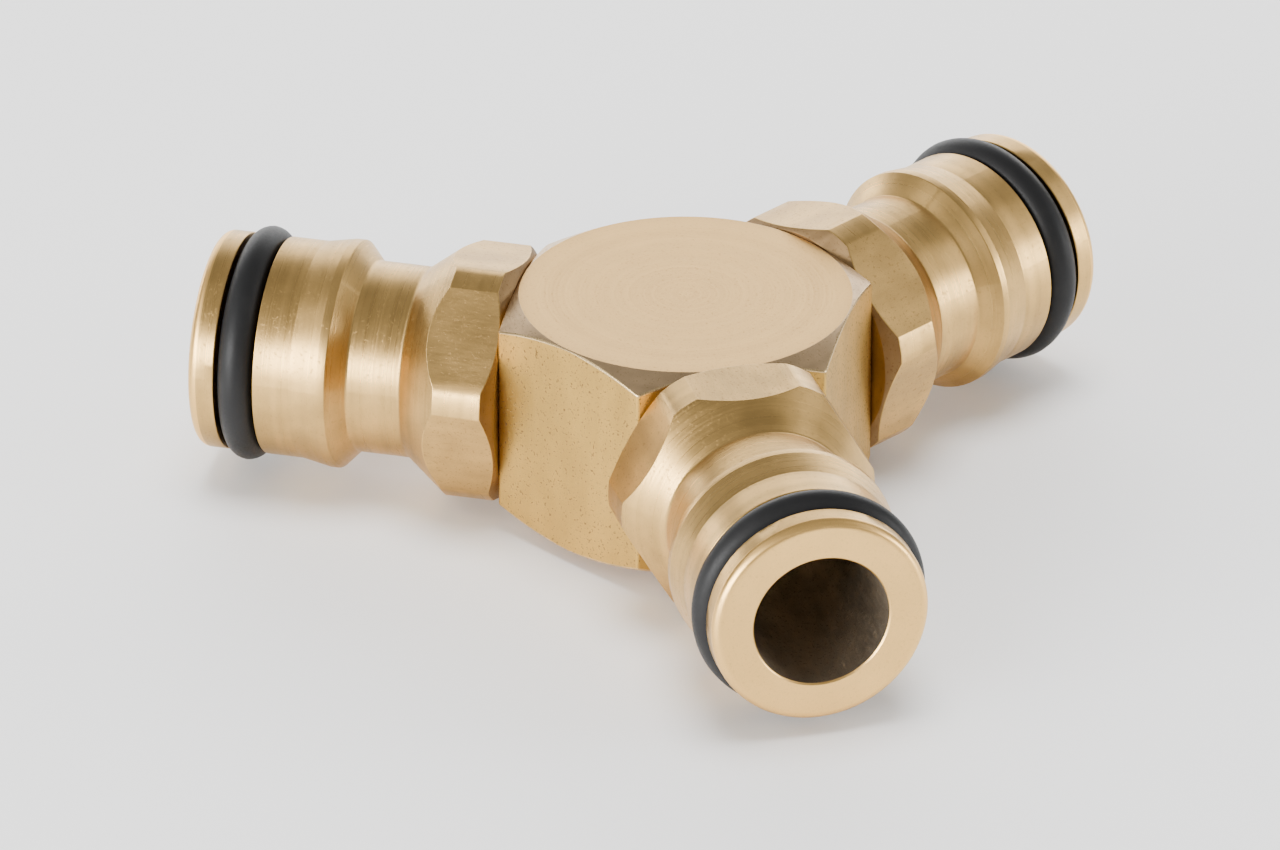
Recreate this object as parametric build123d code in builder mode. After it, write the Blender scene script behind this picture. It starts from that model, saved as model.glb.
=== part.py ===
"""Three-way brass hose coupler: a hexagonal hub with three screwed-in click nipples.

Units are millimetres.  The origin is where the three port axes meet, at mid-height of
the hub.  +Z is up, and the front nipple points along -Y.  Each nipple is drawn from
the hub outwards: a position named _AT is a distance from the origin along its axis.
"""
import os
from math import cos, radians, sin, tan

from build123d import *

os.makedirs("parts", exist_ok=True)

# ---- driving dimensions -------------------------------------------------------------

# Which way each nipple points, and how far round its spanner flats stopped when the
# thread was tight.
ARM_AZIMUTH = {"front": -90, "left": 150, "right": 30}
ARM_HEX_TURN = {"front": 0, "left": 11.6, "right": 47.4}

# Hub, cut from 24 mm hexagonal bar
HUB_ACROSS_FLATS = 24.0
HUB_HEIGHT = 16.2
HUB_CORNER_RADIUS = 0.35
HUB_END_FACE_DIA = 23.8
HUB_CHAMFER_ANGLE = 30
PORT_THREAD_DIA = 13.16
PORT_THREAD_END_AT = 4.8
PORT_LEAD_IN = 0.3
WATERWAY_DIA = 10.0

# Nipple, turned from 17 mm hexagonal bar
NIPPLE_ACROSS_FLATS = 17.0
NIPPLE_CORNER_DIA = 18.6
NIPPLE_BORE_DIA = 9.8
STUB_DIA = 13.1
STUB_END_AT = 5.3
STUB_CHAMFER = 0.5
RELIEF_DIA = 12.2
RELIEF_LENGTH = 1.2
SHOULDER_DIA = 16.6
HEX_REAR_AT = 12.8
HEX_FRONT_AT = 16.3
NECK_DIA = 13.8
NECK_START_AT = 19.4
NECK_END_AT = 23.3
COLLAR_DIA = 16.5
COLLAR_AT = 24.55
COLLAR_LAND = 0.6
NOSE_DIA = 15.7
NOSE_START_AT = 27.25
GROOVE_START_AT = 30.0
GROOVE_WIDTH = 2.85
GROOVE_DIA = 12.0
GROOVE_CORNER_RADIUS = 0.25
TIP_AT = 34.85
TIP_ROUNDING = 0.7
BORE_MOUTH_CHAMFER = 0.12
EDGE_BREAK = 0.08

# Sealing ring, 12 x 2.5 mm, lying in the groove
O_RING_CORD_DIA = 2.44
O_RING_CLEARANCE = 0.005

# ---- sizes that follow --------------------------------------------------------------

HUB_FACE_AT = HUB_ACROSS_FLATS / 2
SHOULDER_AT = HUB_FACE_AT
GROOVE_END_AT = GROOVE_START_AT + GROOVE_WIDTH
O_RING_AT = GROOVE_START_AT + GROOVE_WIDTH / 2
O_RING_CENTRE_RADIUS = GROOVE_DIA / 2 + O_RING_CLEARANCE + O_RING_CORD_DIA / 2


def outward(arm):
    """Unit vector from the origin along an arm."""
    azimuth = radians(ARM_AZIMUTH[arm])
    return Vector(cos(azimuth), sin(azimuth), 0)


def cross_plane(arm, at):
    """Plane square to an arm at a distance along it, with its Y axis up."""
    direction = outward(arm)
    sideways = Vector(-direction.Y, direction.X, 0)
    return Plane(origin=direction * at, x_dir=sideways, z_dir=direction)


def profile_plane(arm):
    """Plane through an arm's axis: X runs out along the arm, and Y is its radius."""
    direction = outward(arm)
    return Plane(origin=(0, 0, 0), x_dir=direction, z_dir=Vector(direction.Y, -direction.X, 0))


def arm_axis(arm):
    """The arm's centre line, pointing outwards."""
    return Axis((0, 0, 0), outward(arm))


# ---- hub body -----------------------------------------------------------------------


def make_hub():
    """Hexagonal block with turned end chamfers and three threaded ports."""
    half_height = HUB_HEIGHT / 2
    end_face_radius = HUB_END_FACE_DIA / 2
    envelope_radius = HUB_ACROSS_FLATS
    chamfer_drop = (envelope_radius - end_face_radius) * tan(radians(HUB_CHAMFER_ANGLE))
    thread = PORT_THREAD_DIA / 2
    port_outline = [
        (0, 0),
        (0, WATERWAY_DIA / 2),
        (PORT_THREAD_END_AT, WATERWAY_DIA / 2),
        (PORT_THREAD_END_AT, thread),
        (HUB_FACE_AT - PORT_LEAD_IN, thread),
        (HUB_FACE_AT, thread + PORT_LEAD_IN),
        (HUB_ACROSS_FLATS, thread + PORT_LEAD_IN),
        (HUB_ACROSS_FLATS, 0),
    ]
    with BuildPart() as hub:
        with BuildSketch(Plane.XY.offset(-half_height)):
            RegularPolygon(HUB_ACROSS_FLATS / 2, 6, major_radius=False)
        extrude(amount=HUB_HEIGHT)
        fillet(hub.edges().filter_by(Axis.Z), HUB_CORNER_RADIUS)
        with BuildSketch(Plane.XZ):
            with BuildLine():
                Polyline(
                    (0, -half_height),
                    (end_face_radius, -half_height),
                    (envelope_radius, -half_height + chamfer_drop),
                    (envelope_radius, half_height - chamfer_drop),
                    (end_face_radius, half_height),
                    (0, half_height),
                    close=True,
                )
            make_face()
        revolve(axis=Axis.Z, mode=Mode.INTERSECT)
        for arm in ARM_AZIMUTH:
            with BuildSketch(profile_plane(arm)):
                with BuildLine():
                    Polyline(*port_outline, close=True)
                make_face()
            revolve(axis=arm_axis(arm), mode=Mode.SUBTRACT)
    return hub.part


# ---- nipple -------------------------------------------------------------------------


def make_nipple(arm):
    """Turned connector: threaded stub, spanner hexagon, collar, nose and grooved tip."""
    bore = NIPPLE_BORE_DIA / 2
    stub = STUB_DIA / 2
    relief = RELIEF_DIA / 2
    neck = NECK_DIA / 2
    collar = COLLAR_DIA / 2
    nose = NOSE_DIA / 2
    groove = GROOVE_DIA / 2
    corner = NIPPLE_CORNER_DIA / 2
    relief_start_at = SHOULDER_AT - RELIEF_LENGTH
    outline = [
        (STUB_END_AT, bore),
        (STUB_END_AT, stub - STUB_CHAMFER),
        (STUB_END_AT + STUB_CHAMFER, stub),
        (relief_start_at - (stub - relief), stub),
        (relief_start_at, relief),
        (SHOULDER_AT, relief),
        (SHOULDER_AT, SHOULDER_DIA / 2),
        (HEX_REAR_AT, corner),
        (HEX_FRONT_AT, corner),
        (NECK_START_AT, neck),
        (NECK_END_AT, neck),
        (COLLAR_AT, collar),
        (COLLAR_AT + COLLAR_LAND, collar),
        (NOSE_START_AT, nose),
        (GROOVE_START_AT - EDGE_BREAK, nose),
        (GROOVE_START_AT, nose - EDGE_BREAK),
        (GROOVE_START_AT, groove),
        (GROOVE_END_AT, groove),
        (GROOVE_END_AT, nose - EDGE_BREAK),
        (GROOVE_END_AT + EDGE_BREAK, nose),
        (TIP_AT, nose),
        (TIP_AT, bore + BORE_MOUTH_CHAMFER),
        (TIP_AT - BORE_MOUTH_CHAMFER, bore),
    ]
    with BuildPart() as nipple:
        with BuildSketch(profile_plane(arm)) as profile:
            with BuildLine():
                Polyline(*outline, close=True)
            make_face()
            corners = profile.vertices()
            floor_corners = [v for v in corners if abs(v.Y - groove) < 0.001]
            fillet(floor_corners, GROOVE_CORNER_RADIUS)
            tip_corner = [v for v in profile.vertices() if v.X > TIP_AT - 0.001 and v.Y > nose - 0.001]
            fillet(tip_corner, TIP_ROUNDING)
        revolve(axis=arm_axis(arm))
        with BuildSketch(cross_plane(arm, SHOULDER_AT)):
            Circle(NIPPLE_CORNER_DIA)
            RegularPolygon(
                NIPPLE_ACROSS_FLATS / 2,
                6,
                major_radius=False,
                rotation=ARM_HEX_TURN[arm],
                mode=Mode.SUBTRACT,
            )
        extrude(amount=NECK_START_AT - SHOULDER_AT, mode=Mode.SUBTRACT)
    return nipple.part


# ---- O-ring -------------------------------------------------------------------------


def make_o_ring(arm):
    """Rubber ring about an arm's axis, just clear of the bottom of its groove."""
    with BuildPart() as ring:
        with BuildSketch(profile_plane(arm)):
            with Locations((O_RING_AT, O_RING_CENTRE_RADIUS)):
                Circle(O_RING_CORD_DIA / 2)
        revolve(axis=arm_axis(arm))
    return ring.part


# ---- write every piece --------------------------------------------------------------


def write(piece, name):
    """Label a finished piece and write it as its own STEP file."""
    piece.label = name
    export_step(piece, f"parts/{name}.step")


write(make_hub(), "hub_body")
for arm_name in ARM_AZIMUTH:
    write(make_nipple(arm_name), f"{arm_name}_nipple")
    write(make_o_ring(arm_name), f"{arm_name}_o_ring")
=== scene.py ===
"""Looks of the three-way brass hose coupler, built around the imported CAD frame."""
import math

import bpy
from mathutils import Matrix, Vector


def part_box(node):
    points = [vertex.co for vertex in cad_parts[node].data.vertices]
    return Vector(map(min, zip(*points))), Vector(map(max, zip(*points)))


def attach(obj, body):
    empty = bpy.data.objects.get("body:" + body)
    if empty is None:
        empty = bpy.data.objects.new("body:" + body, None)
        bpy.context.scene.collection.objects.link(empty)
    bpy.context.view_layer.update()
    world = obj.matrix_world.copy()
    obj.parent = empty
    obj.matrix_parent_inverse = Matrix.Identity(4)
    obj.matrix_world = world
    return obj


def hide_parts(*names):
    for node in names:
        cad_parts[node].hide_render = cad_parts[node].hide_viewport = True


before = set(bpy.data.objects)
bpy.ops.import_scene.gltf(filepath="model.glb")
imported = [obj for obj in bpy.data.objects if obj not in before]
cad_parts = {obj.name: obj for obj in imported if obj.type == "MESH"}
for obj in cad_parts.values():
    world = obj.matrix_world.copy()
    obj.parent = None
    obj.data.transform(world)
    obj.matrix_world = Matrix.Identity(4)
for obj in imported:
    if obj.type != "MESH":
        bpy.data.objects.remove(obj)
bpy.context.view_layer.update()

MM = 0.001

# ---- sizes, in millimetres ----------------------------------------------------------

# Arms: azimuth of each nipple, and how far round its spanner flats stopped, in degrees
ARMS = {"front": (-90, 0), "left": (150, 11.6), "right": (30, 47.4)}

# Half the angle that one side of a hexagon takes up
HALF_SIDE = math.radians(30)

# Hub
HUB_LOW, HUB_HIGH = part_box("hub_body")
HUB_APOTHEM = (HUB_HIGH.y - HUB_LOW.y) / 2 / MM
HUB_HALF_HEIGHT = (HUB_HIGH.z - HUB_LOW.z) / 2 / MM
HUB_CORNER_RADIUS = 0.35
HUB_END_FACE_RADIUS = 11.9
HUB_CHAMFER_SLOPE = math.tan(math.radians(30))
HUB_RIM_ROUNDING = 0.06
HUB_ARCH_ROUNDING = 0.22
PORT_RADIUS = 6.58
PORT_END_AT = 4.8
PORT_LEAD_IN = 0.3
WATERWAY_RADIUS = 5.0

# Nipple: positions along its axis, from the centre of the hub, and radii
TIP_AT = -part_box("front_nipple")[0].y / MM
STUB_END_AT = -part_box("front_nipple")[1].y / MM
HEX_APOTHEM = 8.5
HEX_CORNER_RADIUS = 9.3
SHOULDER_AT = HUB_APOTHEM
SHOULDER_RADIUS = 8.3
HEX_REAR_AT = 12.8
HEX_FRONT_AT = 16.3
NECK_START_AT = 19.4
NECK_END_AT = 23.3
NECK_RADIUS = 6.9
COLLAR_AT = 24.55
COLLAR_LAND = 0.6
COLLAR_RADIUS = 8.25
NOSE_START_AT = 27.25
NOSE_RADIUS = 7.85
GROOVE_AT = 30.0
GROOVE_WIDTH = 2.85
GROOVE_RADIUS = 6.0
BORE_RADIUS = 4.9
BORE_MOUTH_CHAMFER = 0.12
STUB_RADIUS = 6.55
STUB_CHAMFER = 0.5
RELIEF_RADIUS = 6.1
RELIEF_LENGTH = 1.2
RELIEF_RAMP = 0.4

# O-ring
CORD_RADIUS = 1.22
CORD_CENTRE_RADIUS = 7.225
MOULD_RIDGE = 0.012

# ---- how finely each mesh is divided ------------------------------------------------

HUB_FLAT_STEPS = 16
HUB_CORNER_STEPS = 8
HUB_ROUNDING_STEPS = 3
PORT_SIDES = 96
HEX_HALF_FLAT_STEPS = 5
RING_STEPS = 144
CORD_SIDES = 28


# ---- mesh helpers -------------------------------------------------------------------


def flat_middle(side):
    """The angle of the middle of a numbered side of a hexagon."""
    return math.radians(30 + 60 * side)


def from_flat_middle(offset):
    """An offset of up to a whole side, as the angle from the nearer side's middle."""
    return offset if offset <= HALF_SIDE else offset - 2 * HALF_SIDE


def rounded_corner(before, corner, after, radius, steps):
    """Points of an arc that rounds a corner of a flat outline, always steps + 1 of them."""
    to_before = (before - corner).normalized()
    to_after = (after - corner).normalized()
    half_angle = to_before.angle(to_after) / 2
    room = 0.45 * min((before - corner).length, (after - corner).length)
    reach = min(radius / math.tan(half_angle), room)
    radius = reach * math.tan(half_angle)
    middle = (to_before + to_after).normalized()
    centre = corner + middle * radius / math.sin(half_angle)
    start = corner + to_before * reach - centre
    finish = corner + to_after * reach - centre
    turn = start.angle_signed(finish)
    points = []
    for step in range(steps + 1):
        angle = -turn * step / steps
        rotated = Vector((
            start.x * math.cos(angle) - start.y * math.sin(angle),
            start.x * math.sin(angle) + start.y * math.cos(angle),
        ))
        points.append(centre + rotated)
    return points


def rounded_outline(outline):
    """A closed outline of (along, radius, rounding, steps) as points, corners rounded."""
    corners = [Vector((along, radius)) for along, radius, _, _ in outline]
    points = []
    for index, (_, _, rounding, steps) in enumerate(outline):
        before = corners[index - 1]
        after = corners[(index + 1) % len(corners)]
        if rounding:
            points += rounded_corner(before, corners[index], after, rounding, steps)
        else:
            points.append(corners[index])
    return points


def outline_row(outline, corner):
    """The row of the mesh where a numbered corner's points start."""
    return sum(steps + 1 if rounding else 1 for _, _, rounding, steps in outline[:corner])


def spun(points, angle):
    """Points of (along, radius) turned about the Z axis to an angle."""
    return [(p.y * math.cos(angle), p.y * math.sin(angle), p.x) for p in points]


def turned_grid(angles, outlines):
    """Vertices and faces of a closed ring surface: one outline of points per angle."""
    rows = len(outlines[0])
    vertices = []
    for angle, outline in zip(angles, outlines):
        vertices += spun(outline, angle)
    faces = []
    columns = len(angles)
    for column in range(columns):
        following = (column + 1) % columns
        for row in range(rows):
            below = (row + 1) % rows
            faces.append((
                column * rows + row,
                following * rows + row,
                following * rows + below,
                column * rows + below,
            ))
    return vertices, faces


def finish_mesh(piece, sharp_angle=32):
    """Smooth shading that stays flat on flat faces and crisp on real edges."""
    mesh = piece.data
    mesh.shade_smooth()
    mesh.set_sharp_from_angle(angle=math.radians(sharp_angle))
    weighted = piece.modifiers.new("weighted_normals", "WEIGHTED_NORMAL")
    weighted.mode = "FACE_AREA"
    weighted.weight = 80
    weighted.keep_sharp = True


def new_piece(name, vertices, faces, materials, face_materials=None):
    """A mesh object with its materials, in millimetre coordinates scaled to metres."""
    mesh = bpy.data.meshes.new(name)
    mesh.from_pydata([Vector(v) * MM for v in vertices], [], faces)
    for material in materials:
        mesh.materials.append(material)
    if face_materials:
        slots = [materials.index(material) for material in face_materials]
        mesh.polygons.foreach_set("material_index", slots)
    mesh.update()
    piece = bpy.data.objects.new(name, mesh)
    bpy.context.scene.collection.objects.link(piece)
    return piece


def arm_matrix(azimuth, turn=0):
    """Puts local +Z along an arm, local +Y up, and turns the piece about the arm."""
    azimuth = math.radians(azimuth)
    outward = Vector((math.cos(azimuth), math.sin(azimuth), 0))
    sideways = Vector((-outward.y, outward.x, 0))
    axes = Matrix((sideways, Vector((0, 0, 1)), outward)).transposed().to_4x4()
    return axes @ Matrix.Rotation(math.radians(turn), 4, "Z")


# ---- materials ----------------------------------------------------------------------


class Shader:
    """Short names for building one material's nodes."""

    def __init__(self, name, colour, roughness, metallic):
        self.material = bpy.data.materials.new(name)
        self.material.use_nodes = True
        self.tree = self.material.node_tree
        self.surface = self.tree.nodes["Principled BSDF"]
        self.surface.inputs["Base Color"].default_value = (*colour, 1)
        self.surface.inputs["Roughness"].default_value = roughness
        self.surface.inputs["Metallic"].default_value = metallic
        self.material.diffuse_color = (*colour, 1)

    def node(self, kind, **settings):
        """A node, with its properties set by name and its inputs by in_NAME or in_NUMBER."""
        made = self.tree.nodes.new(kind)
        for key, value in settings.items():
            if key.startswith("in_"):
                socket = key[3:]
                target = made.inputs[int(socket) if socket.isdigit() else socket]
                if isinstance(value, bpy.types.NodeSocket):
                    self.tree.links.new(value, target)
                else:
                    target.default_value = value
            else:
                setattr(made, key, value)
        return made

    def math(self, operation, first, second=0.0):
        made = self.node("ShaderNodeMath", operation=operation, in_0=first, in_1=second)
        return made.outputs[0]

    def spread(self, value, low, high, out_low, out_high):
        """Maps low..high to out_low..out_high, clamped."""
        made = self.node(
            "ShaderNodeMapRange",
            in_0=value,
            in_1=low,
            in_2=high,
            in_3=out_low,
            in_4=out_high,
        )
        return made.outputs[0]

    def noise(self, vector, scale, detail=2.0, roughness=0.5):
        """Noise from 0 to 1, with about scale features to a millimetre."""
        made = self.node(
            "ShaderNodeTexNoise",
            in_Vector=vector,
            in_Scale=scale,
            in_Detail=detail,
            in_Roughness=roughness,
        )
        return made.outputs["Fac"]

    def place(self):
        """The point in metres, in the frame of the whole part."""
        return self.node("ShaderNodeTexCoord").outputs["Object"]

    def position(self, turn=(0, 0, 0)):
        """The point in millimetres, turned so that the piece's own axis is X."""
        made = self.node(
            "ShaderNodeMapping",
            in_Vector=self.place(),
            in_Rotation=[math.radians(angle) for angle in turn],
            in_Scale=[1 / MM] * 3,
        )
        return made.outputs[0]

    def stretch(self, vector, factors, shift=(0, 0, 0)):
        made = self.node(
            "ShaderNodeMapping",
            in_Vector=vector,
            in_Scale=factors,
            in_Location=shift,
        )
        return made.outputs[0]

    def mix_colour(self, factor, first, second):
        made = self.node("ShaderNodeMix", data_type="RGBA")
        for socket, value in ((0, factor), (6, first), (7, second)):
            if isinstance(value, bpy.types.NodeSocket):
                self.tree.links.new(value, made.inputs[socket])
            else:
                made.inputs[socket].default_value = value if socket == 0 else (*value, 1)
        return made.outputs[2]

    def bump(self, height, distance_mm, under=None):
        """A normal bent by a height, which may lie over another bump."""
        made = self.node(
            "ShaderNodeBump",
            in_Height=height,
            in_Strength=1.0,
            in_Distance=distance_mm * MM,
        )
        if under:
            self.tree.links.new(under, made.inputs["Normal"])
        return made.outputs["Normal"]

    def link(self, output, socket):
        self.tree.links.new(output, self.surface.inputs[socket])


# How each grain of brass was made: depth of its tool lines in mm, and its share of grit
TOOL_MARKS = {"turned": (0.005, 0.12), "drawn": (0.006, 0.28), "faced": (0.002, 0.12)}
GRIT_COLOUR = (0.30, 0.19, 0.08)
STAIN_COLOUR = (0.20, 0.12, 0.05)
PIT_DEPTH = 0.01
LATHE_ANISOTROPY = 0.45


def own_axis(azimuth):
    """The turn that lays a piece's axis along X, and that axis; None is the hub's own."""
    if azimuth is None:
        return (0, 90, 0), (0, 0, 1)
    angle = math.radians(azimuth)
    return (0, 0, -azimuth), (math.cos(angle), math.sin(angle), 0)


def brass(name, seed, azimuth, colour, roughness, grain, pitted=0.3, contrast=0.28):
    """Bare brass. grain says how it was made: "turned", "drawn" or "faced"."""
    shader = Shader(name, colour, roughness, metallic=1.0)
    turn, axis = own_axis(azimuth)
    line_depth, grit_share = TOOL_MARKS[grain]
    place = shader.position(turn)
    moved = shader.stretch(place, (1, 1, 1), shift=(seed * 17.3, seed * 9.1, seed * 5.7))
    if grain == "drawn":
        streaks = shader.stretch(moved, (0.1, 1.0, 1.0))
        lines = shader.noise(streaks, 6.0, detail=4.0, roughness=0.7)
        passes = shader.noise(streaks, 0.5)
    else:
        split = shader.node("ShaderNodeSeparateXYZ", in_0=place)
        square_y = shader.math("POWER", split.outputs[1], 2.0)
        square_z = shader.math("POWER", split.outputs[2], 2.0)
        radius = shader.math("SQRT", shader.math("ADD", square_y, square_z))
        lathe = shader.node(
            "ShaderNodeCombineXYZ",
            in_X=split.outputs[0],
            in_Y=radius,
            in_Z=seed * 3.1,
        ).outputs[0]
        lines = shader.noise(lathe, 7.0, detail=4.0, roughness=0.7)
        passes = shader.noise(lathe, 0.9)
    blotches = shader.noise(moved, 0.35, detail=3.0)
    pits = shader.spread(shader.noise(moved, 5.0), 0.61, 0.67, 0.0, 1.0)
    grit = shader.spread(
        shader.noise(moved, 14.0, detail=3.0, roughness=0.7), 0.35, 0.65, grit_share, 0.0
    )

    dark = tuple(channel * (1 - contrast) for channel in colour)
    tone = shader.spread(shader.math("ADD", passes, blotches), 0.78, 1.22, 0.0, 1.0)
    toned = shader.mix_colour(tone, dark, colour)
    gritty = shader.mix_colour(grit, toned, GRIT_COLOUR)
    stains = shader.math("MULTIPLY", pits, pitted)
    shader.link(shader.mix_colour(stains, gritty, STAIN_COLOUR), "Base Color")

    shiny = shader.spread(lines, 0.3, 0.7, roughness - 0.05, roughness + 0.07)
    dull_pits = shader.math("MULTIPLY", pits, 0.15)
    shader.link(shader.math("ADD", shiny, dull_pits), "Roughness")

    tool_lines = shader.bump(lines, line_depth)
    hollows = shader.math("MULTIPLY", pits, -pitted)
    shader.link(shader.bump(hollows, PIT_DEPTH, under=tool_lines), "Normal")
    if grain == "turned":
        shader.surface.inputs["Anisotropic"].default_value = LATHE_ANISOTROPY
        around = shader.node(
            "ShaderNodeVectorMath",
            operation="CROSS_PRODUCT",
            in_0=axis,
            in_1=shader.place(),
        )
        unit = shader.node(
            "ShaderNodeVectorMath",
            operation="NORMALIZE",
            in_0=around.outputs[0],
        )
        shader.link(unit.outputs[0], "Tangent")
    return shader.material


def rubber(name, colour, roughness):
    """Moulded black rubber: slightly uneven, with a little dust."""
    shader = Shader(name, colour, roughness, metallic=0.0)
    place = shader.position()
    grain = shader.noise(place, 6.0, detail=4.0, roughness=0.6)
    dust = shader.spread(shader.noise(place, 0.5, detail=3.0), 0.5, 0.75, 0.0, 0.3)
    dusty = tuple(0.7 * channel + 0.015 for channel in colour)
    shader.link(shader.mix_colour(dust, colour, dusty), "Base Color")
    shader.link(shader.spread(grain, 0.3, 0.7, roughness - 0.06, roughness + 0.08), "Roughness")
    shader.link(shader.bump(grain, 0.006), "Normal")
    shader.surface.inputs["Specular IOR Level"].default_value = 0.24
    return shader.material


BRASS_COLOUR = (0.72, 0.45, 0.15)
BAR_COLOUR = (0.68, 0.42, 0.10)
FACED_COLOUR = (0.79, 0.485, 0.16)
CHAMFER_COLOUR = (0.78, 0.54, 0.30)
# Painted highlight: the next colour is paler and brighter than the hub's other brass, to light
# up the rounded arch edges.
EDGE_HIGHLIGHT_COLOUR = (0.95, 0.68, 0.34)
# Painted light: the front end's colour is brighter than the rest of the nipple's brass, to lift
# the faced front to a brightness the lamps don't give it.
TIP_PAINTED_LIGHT_COLOUR = (0.96, 0.59, 0.19)
# Painted shade: the rear cone and shoulder behind the hex are dark brass, so that the joint
# with the hub reads as a shaded gap.
REAR_PAINTED_SHADE_COLOUR = (0.38, 0.24, 0.11)
INNER_COLOUR = (0.73, 0.62, 0.48)
RUBBER_COLOUR = (0.015, 0.015, 0.0155)

FACED_BRASS = brass(
    "faced_brass", 1, None, FACED_COLOUR, 0.4, "faced", pitted=0.08, contrast=0.05
)
HUB_BAR = brass(
    "hub_bar_brass", 2, None, BAR_COLOUR, 0.42, "drawn", pitted=0.85, contrast=0.16
)
HUB_CHAMFER = brass("hub_chamfer_brass", 3, None, CHAMFER_COLOUR, 0.36, "turned")
# Material of the rounded arch edges of the hub; its brighter colour is a painted highlight.
HIGHLIGHTED_EDGE_BRASS = brass("painted_highlight_edge_brass", 5, None, EDGE_HIGHLIGHT_COLOUR, 0.28, "drawn", contrast=0.3)
INNER_BRASS = brass("inner_brass", 4, None, INNER_COLOUR, 0.5, "drawn")
BLACK_RUBBER = rubber("black_rubber", RUBBER_COLOUR, 0.46)


# ---- hub ----------------------------------------------------------------------------

# The angle from the middle of a side to where its rounded corner starts
HUB_FLAT_END = math.atan(
    (HUB_APOTHEM - HUB_CORNER_RADIUS) * math.tan(HALF_SIDE) / HUB_APOTHEM
)

# The cutter of a port runs past the flat, and its inner end closes as a cone, so that no
# edge of it lies in a face of the hub. Each starts at its own angle for the same reason.
CUTTER_PAST_FLAT = 0.5
CUTTER_CONE_LENGTH = 2.5
CUTTER_START_ANGLES = (0.011, 0.028, 0.045)


def hub_side_radius(angle):
    """Distance from the hub's axis to its side, at an angle from the middle of a flat."""
    if abs(angle) <= HUB_FLAT_END:
        return HUB_APOTHEM / math.cos(angle)
    from_corner = HALF_SIDE - abs(angle)
    centre = (HUB_APOTHEM - HUB_CORNER_RADIUS) / math.cos(HALF_SIDE)
    sideways = centre * math.sin(from_corner)
    return centre * math.cos(from_corner) + math.sqrt(HUB_CORNER_RADIUS ** 2 - sideways ** 2)


def hub_column(side_radius):
    """The hub's upright outline at one angle, from the lower face to the upper one."""
    drop = (side_radius - HUB_END_FACE_RADIUS) * HUB_CHAMFER_SLOPE
    edge_height = HUB_HALF_HEIGHT - drop
    corners = [
        Vector((-HUB_HALF_HEIGHT, 0)),
        Vector((-HUB_HALF_HEIGHT, HUB_END_FACE_RADIUS)),
        Vector((-edge_height, side_radius)),
        Vector((edge_height, side_radius)),
        Vector((HUB_HALF_HEIGHT, HUB_END_FACE_RADIUS)),
        Vector((HUB_HALF_HEIGHT, 0)),
    ]
    rounding = (HUB_RIM_ROUNDING, HUB_ARCH_ROUNDING, HUB_ARCH_ROUNDING, HUB_RIM_ROUNDING)
    points = []
    for index, radius in enumerate(rounding, start=1):
        before, corner, after = corners[index - 1:index + 2]
        points += rounded_corner(before, corner, after, radius, HUB_ROUNDING_STEPS)
    return points


def hub_row_material(row):
    """The upright flat, the rounded arches above and below it with their painted highlight, or
    the chamfer and rim.
    """
    corner_rows = HUB_ROUNDING_STEPS + 1
    upright = 2 * corner_rows - 1
    if row == upright:
        return HUB_BAR
    if abs(row - upright) <= HUB_ROUNDING_STEPS:
        # The arch rows get the painted highlight colour.
        return HIGHLIGHTED_EDGE_BRASS
    return HUB_CHAMFER


def port_cutter(azimuth, start_angle):
    """Solid that cuts one port: thread bore, lead-in and waterway."""
    end_at = HUB_APOTHEM + CUTTER_PAST_FLAT
    outline = [
        Vector((-CUTTER_CONE_LENGTH, 0.0)),
        Vector((0.0, WATERWAY_RADIUS)),
        Vector((PORT_END_AT, WATERWAY_RADIUS)),
        Vector((PORT_END_AT, PORT_RADIUS)),
        Vector((HUB_APOTHEM - PORT_LEAD_IN, PORT_RADIUS)),
        Vector((end_at, PORT_RADIUS + PORT_LEAD_IN + CUTTER_PAST_FLAT)),
        Vector((end_at, 0.0)),
    ]
    vertices = [(0, 0, outline[0].x), (0, 0, outline[-1].x)]
    rim = outline[1:-1]
    for side in range(PORT_SIDES):
        vertices += spun(rim, start_angle + math.tau * side / PORT_SIDES)
    faces = []
    for side in range(PORT_SIDES):
        here = 2 + side * len(rim)
        there = 2 + (side + 1) % PORT_SIDES * len(rim)
        faces.append((0, there, here))
        faces.append((1, here + len(rim) - 1, there + len(rim) - 1))
        for row in range(len(rim) - 1):
            faces.append((here + row, there + row, there + row + 1, here + row + 1))
    cutter = new_piece("port_cutter", vertices, faces, [INNER_BRASS])
    cutter.data.transform(arm_matrix(azimuth))
    return cutter


def cut_port(hub, cutter):
    """Takes one cutter out of the hub, and leaves the cutter's material in the hole."""
    cut = hub.modifiers.new("port", "BOOLEAN")
    cut.operation = "DIFFERENCE"
    cut.solver = "EXACT"
    cut.material_mode = "TRANSFER"
    cut.object = cutter
    bpy.context.view_layer.objects.active = hub
    bpy.ops.object.modifier_apply(modifier=cut.name)
    bpy.data.objects.remove(cutter)


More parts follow.
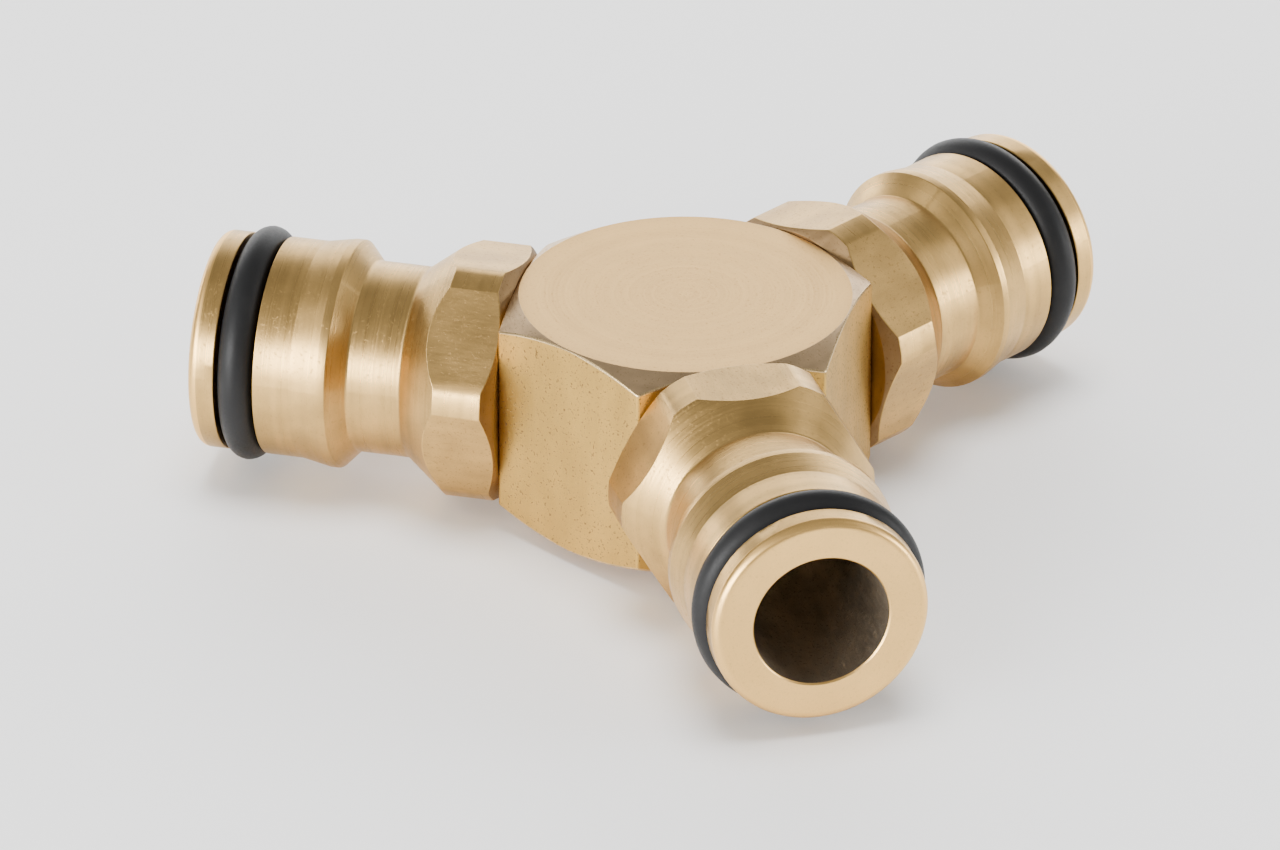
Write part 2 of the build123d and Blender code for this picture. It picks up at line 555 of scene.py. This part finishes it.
def make_hub():
    """The hexagonal hub with its faced ends, chamfers and three ports."""
    flat_width = 2 * HUB_FLAT_END
    corner_width = 2 * (HALF_SIDE - HUB_FLAT_END)
    offsets = [
        -HUB_FLAT_END + flat_width * step / HUB_FLAT_STEPS for step in range(HUB_FLAT_STEPS)
    ]
    offsets += [
        HUB_FLAT_END + corner_width * step / HUB_CORNER_STEPS
        for step in range(HUB_CORNER_STEPS)
    ]
    vertices = []
    for side in range(6):
        for offset in offsets:
            upright = hub_column(hub_side_radius(from_flat_middle(offset)))
            vertices += spun(upright, flat_middle(side) + offset)
    rows = len(upright)
    columns = len(vertices) // rows
    faces = [tuple(range(0, len(vertices), rows))[::-1]]
    looks = [FACED_BRASS]
    for column in range(columns):
        following = (column + 1) % columns
        for row in range(rows - 1):
            faces.append((
                column * rows + row,
                following * rows + row,
                following * rows + row + 1,
                column * rows + row + 1,
            ))
            looks.append(hub_row_material(row))
    faces.append(tuple(range(rows - 1, len(vertices), rows)))
    looks.append(FACED_BRASS)
    materials = [FACED_BRASS, HUB_BAR, HUB_CHAMFER, HIGHLIGHTED_EDGE_BRASS]
    hub = new_piece("hub", vertices, faces, materials, looks)
    for (azimuth, _), start_angle in zip(ARMS.values(), CUTTER_START_ANGLES):
        cut_port(hub, port_cutter(azimuth, start_angle))
    finish_mesh(hub)
    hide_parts("hub_body")
    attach(hub, "root")


make_hub()


# ---- nipples and O-rings ------------------------------------------------------------

# Corners of the nipple's outline, counted from 0, where another kind of surface starts
SHOULDER_CORNER = 5
HEX_REAR_CORNER = 7
HEX_FRONT_CORNER = 8
TIP_CORNER = 18

# Half the width of the edge between a flat and a turned corner
HEX_EDGE_BLEND = math.radians(0.35)

# Where the columns of a turned corner stand, in half widths from its start
HEX_CORNER_SHARES = (0.0, 0.5, 1.0, 1.5)

FIRST_NIPPLE_SEED = 10
SEEDS_PER_NIPPLE = 5


def nipple_outline(hex_radius):
    """The nipple's outline at one angle: (distance out, radius, rounding, steps)."""
    rear_slope = (HEX_CORNER_RADIUS - SHOULDER_RADIUS) / (HEX_REAR_AT - SHOULDER_AT)
    cone_slope = (HEX_CORNER_RADIUS - NECK_RADIUS) / (NECK_START_AT - HEX_FRONT_AT)
    rear_at = SHOULDER_AT + (hex_radius - SHOULDER_RADIUS) / rear_slope
    front_at = HEX_FRONT_AT + (HEX_CORNER_RADIUS - hex_radius) / cone_slope
    relief_at = SHOULDER_AT - RELIEF_LENGTH
    groove_end = GROOVE_AT + GROOVE_WIDTH
    return [
        (STUB_END_AT, BORE_RADIUS, 0.2, 2),
        (STUB_END_AT, STUB_RADIUS - STUB_CHAMFER, 0, 0),
        (STUB_END_AT + STUB_CHAMFER, STUB_RADIUS, 0, 0),
        (relief_at - RELIEF_RAMP, STUB_RADIUS, 0, 0),
        (relief_at, RELIEF_RADIUS, 0, 0),
        (SHOULDER_AT, RELIEF_RADIUS, 0, 0),
        (SHOULDER_AT, SHOULDER_RADIUS, 0.05, 2),
        (rear_at, hex_radius, 0.1, 3),
        (front_at, hex_radius, 0.15, 3),
        (NECK_START_AT, NECK_RADIUS, 0.5, 4),
        (NECK_END_AT, NECK_RADIUS, 0.25, 3),
        (COLLAR_AT, COLLAR_RADIUS, 0.12, 3),
        (COLLAR_AT + COLLAR_LAND, COLLAR_RADIUS, 0.3, 3),
        (NOSE_START_AT, NOSE_RADIUS, 0.4, 2),
        (GROOVE_AT, NOSE_RADIUS, 0.1, 3),
        (GROOVE_AT, GROOVE_RADIUS, 0.25, 3),
        (groove_end, GROOVE_RADIUS, 0.25, 3),
        (groove_end, NOSE_RADIUS, 0.1, 3),
        (TIP_AT, NOSE_RADIUS, 0.7, 6),
        (TIP_AT, BORE_RADIUS + BORE_MOUTH_CHAMFER, 0.03, 2),
        (TIP_AT - BORE_MOUTH_CHAMFER, BORE_RADIUS, 0.03, 2),
    ]


def hex_radius_at(offset):
    """Distance from the nipple's axis to its hexagon, corners turned off."""
    return min(HEX_APOTHEM / math.cos(offset), HEX_CORNER_RADIUS)


def make_nipple(arm, azimuth, turn, seed):
    """One turned nipple, drawn about its own axis and then laid along its arm."""
    turned = brass(
        f"{arm}_turned_brass", seed, azimuth, BRASS_COLOUR, 0.3, "turned", pitted=0.12
    )
    flats = brass(f"{arm}_bar_brass", seed + 1, azimuth, BRASS_COLOUR, 0.38, "drawn")
    inner = brass(f"{arm}_bore_brass", seed + 2, azimuth, INNER_COLOUR, 0.42, "drawn")
    # The front end's brighter colour is painted light.
    tip = brass(
        f"{arm}_tip_painted_light_brass",
        seed + 3,
        azimuth,
        TIP_PAINTED_LIGHT_COLOUR,
        0.32,
        "turned",
        pitted=0.08,
        contrast=0.06,
    )
    # The rear cone's dark colour is painted shade for the gap at the hub.
    rear = brass(f"{arm}_rear_painted_shade_brass", seed + 4, azimuth, REAR_PAINTED_SHADE_COLOUR, 0.5, "turned")

    corner_start = math.acos(HEX_APOTHEM / HEX_CORNER_RADIUS)
    flat_half_width = corner_start - HEX_EDGE_BLEND
    corner_half_width = HALF_SIDE - corner_start - HEX_EDGE_BLEND
    offsets = [
        step / HEX_HALF_FLAT_STEPS * flat_half_width
        for step in range(-HEX_HALF_FLAT_STEPS, HEX_HALF_FLAT_STEPS + 1)
    ]
    offsets += [
        corner_start + HEX_EDGE_BLEND + share * corner_half_width
        for share in HEX_CORNER_SHARES
    ]
    angles = []
    outlines = []
    on_flat = []
    for side in range(6):
        for index, offset in enumerate(offsets):
            hex_radius = hex_radius_at(from_flat_middle(offset))
            angles.append(flat_middle(side) + offset)
            outlines.append(rounded_outline(nipple_outline(hex_radius)))
            on_flat.append(index < 2 * HEX_HALF_FLAT_STEPS)
    vertices, faces = turned_grid(angles, outlines)

    template = nipple_outline(HEX_CORNER_RADIUS)
    rear_rows = range(
        outline_row(template, SHOULDER_CORNER), outline_row(template, HEX_REAR_CORNER)
    )
    flat_row = outline_row(template, HEX_FRONT_CORNER) - 1
    tip_first = outline_row(template, TIP_CORNER)
    bore_row = len(outlines[0]) - 1
    looks = []
    for flat_column in on_flat:
        for row in range(bore_row + 1):
            if row == bore_row:
                looks.append(inner)
            elif row >= tip_first:
                looks.append(tip)
            # Rows from the shoulder to the hex's rear carry the painted shade.
            elif row in rear_rows:
                looks.append(rear)
            elif flat_column and row == flat_row:
                looks.append(flats)
            else:
                looks.append(turned)
    materials = [turned, flats, inner, tip, rear]
    nipple = new_piece(f"{arm}_spigot", vertices, faces, materials, looks)
    nipple.data.transform(arm_matrix(azimuth, turn))
    finish_mesh(nipple)
    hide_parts(f"{arm}_nipple")
    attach(nipple, "root")


def make_o_ring(arm, azimuth):
    """The rubber ring in the nipple's groove, with the faint ridge of its mould."""
    ring_at = GROOVE_AT + GROOVE_WIDTH / 2
    section = []
    for side in range(CORD_SIDES):
        angle = math.tau * side / CORD_SIDES
        reach = CORD_RADIUS + (MOULD_RIDGE if side == 0 else 0.0)
        section.append(Vector((
            ring_at + reach * math.sin(angle),
            CORD_CENTRE_RADIUS + reach * math.cos(angle),
        )))
    angles = [math.tau * step / RING_STEPS for step in range(RING_STEPS)]
    vertices, faces = turned_grid(angles, [section] * RING_STEPS)
    ring = new_piece(f"{arm}_seal", vertices, faces, [BLACK_RUBBER])
    ring.data.transform(arm_matrix(azimuth))
    finish_mesh(ring, sharp_angle=60)
    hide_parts(f"{arm}_o_ring")
    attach(ring, "root")


for arm_index, (arm_name, (arm_azimuth, arm_turn)) in enumerate(ARMS.items()):
    first_seed = FIRST_NIPPLE_SEED + SEEDS_PER_NIPPLE * arm_index
    make_nipple(arm_name, arm_azimuth, arm_turn, first_seed)
    make_o_ring(arm_name, arm_azimuth)


# ---- floor, lights and camera, in metres and degrees --------------------------------

FLOOR_HALF_SIZE = 1.2
FLOOR_LIGHT_STRENGTH = 3.5
FLOOR_LIGHT_WIDTH = 35
WORLD_STRENGTH = 0.41

# Softboxes that face the part: azimuth, elevation, (width, height), power in watts
SOFTBOX_DISTANCE = 0.8
SOFTBOXES = {
    "back_softbox": (74, 22, (1.1, 0.5), 4.5),
    "back_strip": (74, 6, (1.1, 0.18), 1.6),
    "left_softbox": (-152, 12, (0.62, 0.3), 10.8),
    "left_fill": (174, 42, (0.35, 0.25), 0.4),
    "left_rear_card": (125, 6, (0.3, 0.2), 1.0),
    "right_softbox": (-20, 8, (0.36, 0.24), 2.4),
    "right_fill": (-8, 36, (0.4, 0.25), 0.35),
}

CAMERA_AZIMUTH = -105.93
CAMERA_ELEVATION = 28.14
CAMERA_DISTANCE = 1.1003
CAMERA_LENS = 433.2
CAMERA_SENSOR = 36
CAMERA_AIM_RIGHT = -0.00323
CAMERA_AIM_UP = -0.00223
CAMERA_ROLL = -0.18
CAMERA_CLIP_END = 10


def direction(azimuth, elevation):
    """Unit vector from the part towards an azimuth and elevation."""
    azimuth = math.radians(azimuth)
    elevation = math.radians(elevation)
    return Vector((
        math.cos(elevation) * math.cos(azimuth),
        math.cos(elevation) * math.sin(azimuth),
        math.sin(elevation),
    ))


def make_floor():
    """A plain pale table top under the lowest point of the part."""
    size = FLOOR_HALF_SIZE
    height = min(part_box(f"{arm}_nipple")[0].z for arm in ARMS)
    corners = [(-size, -size), (size, -size), (size, size), (-size, size)]
    mesh = bpy.data.meshes.new("table_top")
    mesh.from_pydata([(x, y, height) for x, y in corners], [], [(0, 1, 2, 3)])
    shader = Shader("pale_table", (0.9, 0.9, 0.9), 0.6, metallic=0.0)
    cloudy = shader.noise(shader.position(), 0.01)
    cloud = shader.mix_colour(cloudy, (0.88, 0.88, 0.88), (0.92, 0.92, 0.92))
    shader.link(cloud, "Base Color")
    mesh.materials.append(shader.material)
    floor = bpy.data.objects.new("table_top", mesh)
    bpy.context.scene.collection.objects.link(floor)
    return floor


def make_floor_light(floor):
    """A broad soft light from straight above that only the table top receives."""
    data = bpy.data.lights.new("table_light", "SUN")
    data.energy = FLOOR_LIGHT_STRENGTH
    data.angle = math.radians(FLOOR_LIGHT_WIDTH)
    light = bpy.data.objects.new("table_light", data)
    bpy.context.scene.collection.objects.link(light)
    lit = bpy.data.collections.new("lit_by_table_light")
    lit.objects.link(floor)
    light.light_linking.receiver_collection = lit


def make_softbox(name, azimuth, elevation, size, power):
    """A rectangular softbox that faces the part."""
    towards = direction(azimuth, elevation)
    data = bpy.data.lights.new(name, "AREA")
    data.shape = "RECTANGLE"
    data.size, data.size_y = size
    data.energy = power
    light = bpy.data.objects.new(name, data)
    light.location = towards * SOFTBOX_DISTANCE
    light.rotation_euler = towards.to_track_quat("Z", "Y").to_euler()
    bpy.context.scene.collection.objects.link(light)


def make_camera():
    """A long lens at the photograph's viewing angle."""
    backward = direction(CAMERA_AZIMUTH, CAMERA_ELEVATION)
    right = Vector((0, 0, 1)).cross(backward).normalized()
    up = backward.cross(right)
    location = backward * CAMERA_DISTANCE
    target = right * CAMERA_AIM_RIGHT + up * CAMERA_AIM_UP
    data = bpy.data.cameras.new("camera")
    data.lens = CAMERA_LENS
    data.sensor_width = CAMERA_SENSOR
    data.clip_end = CAMERA_CLIP_END
    camera = bpy.data.objects.new("camera", data)
    back = (location - target).normalized()
    side = up.cross(back).normalized()
    axes = Matrix((side, back.cross(side), back)).transposed().to_4x4()
    turn = Matrix.Rotation(math.radians(-CAMERA_ROLL), 4, "Z")
    camera.matrix_world = Matrix.Translation(location) @ axes @ turn
    bpy.context.scene.collection.objects.link(camera)
    bpy.context.scene.camera = camera


def make_world():
    """An even white surround."""
    world = bpy.data.worlds.new("studio")
    world.use_nodes = True
    background = world.node_tree.nodes["Background"]
    background.inputs["Color"].default_value = (1, 1, 1, 1)
    background.inputs["Strength"].default_value = WORLD_STRENGTH
    bpy.context.scene.world = world


make_floor_light(make_floor())
for softbox_name, softbox in SOFTBOXES.items():
    make_softbox(softbox_name, *softbox)
make_camera()
make_world()
